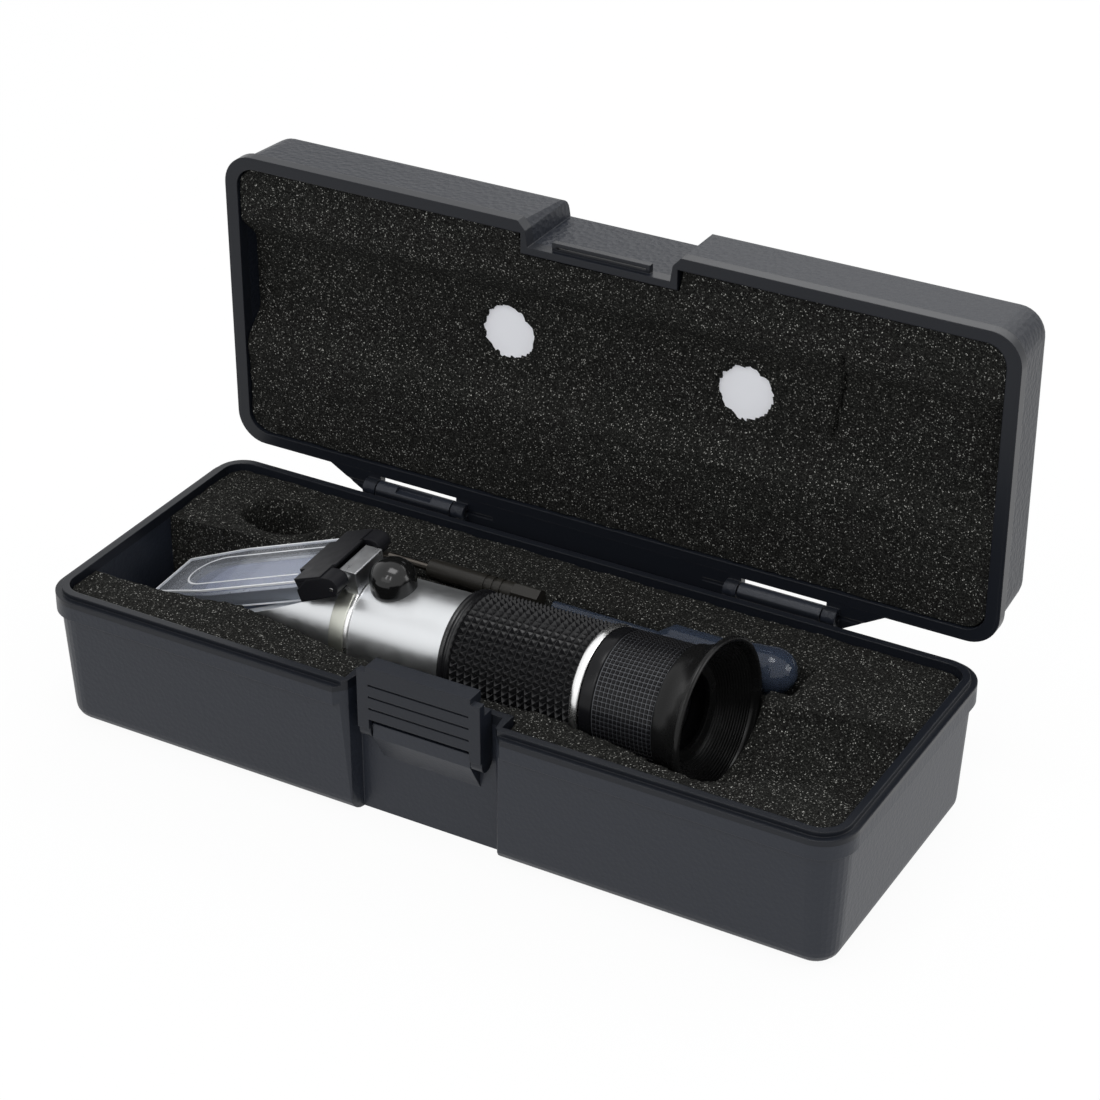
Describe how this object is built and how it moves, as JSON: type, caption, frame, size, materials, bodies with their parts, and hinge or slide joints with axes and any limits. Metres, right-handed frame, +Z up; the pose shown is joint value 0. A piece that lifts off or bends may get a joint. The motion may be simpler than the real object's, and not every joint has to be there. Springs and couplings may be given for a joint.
{
  "type": "refractometer",
  "caption": "Hand-held refractometer with hinged daylight plate, knurled grip and eyecup, lying in its hinged foam-lined case with screwdriver and pipette.",
  "frame": {"origin": "centre of the underside of the case", "axes": "+X along the case towards the eyepiece end, +Y back to the hinges, +Z up"},
  "size_m": [0.206, 0.1026, 0.1161],
  "materials": {
    "case": "fine grain, textured",
    "foam": "open cell, matt",
    "foam_lid": "open cell, matt",
    "latch": "fine grain",
    "steel": "ground",
    "dark_pin": "smooth",
    "sticker": "paper white",
    "satin": "satin anodised",
    "collar": "pale satin",
    "bright": "polished",
    "glass": "polished",
    "prism": "polished, blue tint",
    "acrylic": "moulded clear",
    "black_plastic": "satin",
    "black_rubber": "moulded pattern",
    "gloss_rubber": "glossy",
    "brass": "turned",
    "driver": "smooth",
    "pipette_clear": "translucent"
  },
  "bodies": {
    "case_base": {"base_shell": "case", "base_foam": "foam", "latch_pin": "steel"},
    "lid": {"lid_shell": "case", "lid_foam": "foam_lid", "patch_left": "sticker", "patch_right": "sticker", "hinge_pin_left": "dark_pin", "hinge_pin_right": "dark_pin"},
    "latch": {"latch_plate": "latch"},
    "instrument": {"tube_body": "satin", "collar_ring": "collar", "prism_frame": "satin", "prism_block": "prism", "objective_lens": "glass", "lens_spacer": "black_plastic", "reticle_disc": "glass", "hinge_block": "satin", "yoke_pin": "steel", "grip_sleeve": "black_rubber", "bright_ring": "bright"},
    "calibration_screw": {"adjusting_screw": "brass"},
    "cap": {"screw_cap": "gloss_rubber"},
    "daylight_plate": {"plate_window": "acrylic", "plate_yoke": "black_plastic"},
    "eyepiece": {"eyepiece_barrel": "black_plastic", "eyecup": "gloss_rubber"},
    "lens_carrier": {"lens_cell": "black_plastic", "eye_lens": "glass", "cell_retainer": "black_plastic"},
    "screwdriver": {"driver_handle": "driver", "driver_blade": "steel"},
    "pipette_body": {"pipette": "pipette_clear"}
  },
  "joints": [
    {"name": "lid_hinge", "type": "hinge", "parent": "case_base", "child": "lid", "pos_m": [0, 0.04205, 0.03525], "axis": [1, 0, 0], "range_deg": [0, 90]},
    {"name": "latch_pivot", "type": "hinge", "parent": "case_base", "child": "latch", "pos_m": [0, -0.0351, 0.0246], "axis": [1, 0, 0], "range_deg": [0, 60]},
    {"name": "instrument_lift", "type": "slide", "parent": "case_base", "child": "instrument", "axis": [0, 0, 1], "range_m": [0, 0.06]},
    {"name": "plate_hinge", "type": "hinge", "parent": "instrument", "child": "daylight_plate", "pos_m": [-0.03483, -0.00718, 0.04607], "axis": [0.0372, 0.9938, 0.1043], "range_deg": [0, 105]},
    {"name": "cap_pull", "type": "slide", "parent": "instrument", "child": "cap", "axis": [-0.0635, -0.1019, 0.9928], "range_m": [0, 0.02]},
    {"name": "screw_turn", "type": "hinge", "parent": "instrument", "child": "calibration_screw", "pos_m": [-0.02514, -0.00726, 0.04336], "axis": [-0.0635, -0.1019, 0.9928], "range_deg": [-180, 180]},
    {"name": "focus_turn", "type": "hinge", "parent": "instrument", "child": "eyepiece", "pos_m": [0.03991, -0.00874, 0.03427], "axis": [0.9973, -0.0435, 0.0593], "range_deg": [-120, 120]},
    {"name": "lens_travel", "type": "slide", "parent": "instrument", "child": "lens_carrier", "axis": [0.9973, -0.0435, 0.0593], "range_m": [-0.0016, 0.0016]},
    {"name": "screwdriver_lift", "type": "slide", "parent": "case_base", "child": "screwdriver", "axis": [0, 0, 1], "range_m": [0, 0.05]},
    {"name": "pipette_lift", "type": "slide", "parent": "case_base", "child": "pipette_body", "axis": [0, 0, 1], "range_m": [0, 0.05]}
  ],
  "couplings": [
    {"joint": "lens_travel", "follows": "focus_turn", "m_per_rad": 0.00075}
  ]
}
